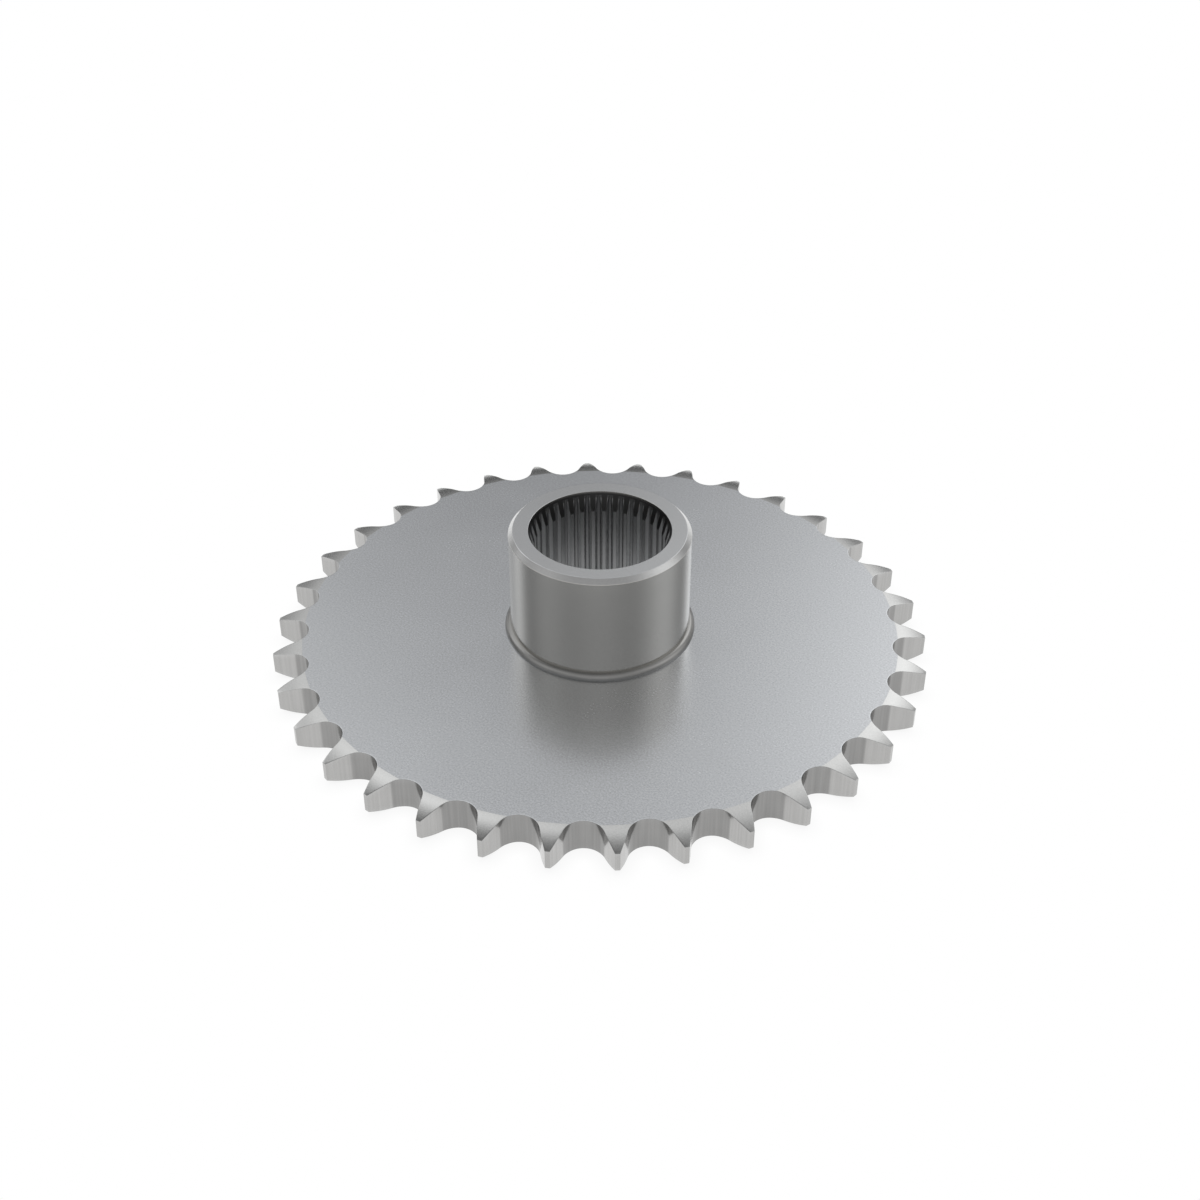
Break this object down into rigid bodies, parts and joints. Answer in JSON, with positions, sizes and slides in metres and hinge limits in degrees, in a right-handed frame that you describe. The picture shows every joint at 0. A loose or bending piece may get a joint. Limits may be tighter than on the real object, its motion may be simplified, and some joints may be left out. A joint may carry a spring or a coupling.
{
  "type": "chain sprocket",
  "caption": "Flat toothed plate for roller chain, welded to a round hub with an internally splined through bore and a conical lead-in at its open end.",
  "frame": {"origin": "centre of the flat back face, on the axis of the bore", "axes": "+Z along the bore's axis towards the hub's open end; +X through the middle of one tooth and of one spline space"},
  "size_m": [0.1442, 0.1438, 0.032],
  "materials": {
    "plate_steel": "satin, fine ground grain",
    "hub_steel": "satin, turned",
    "weld_steel": "smooth weld metal"
  },
  "bodies": {
    "root": {"sprocket_plate": "plate_steel", "splined_hub": "hub_steel", "weld_bead": "weld_steel"}
  },
  "joints": []
}
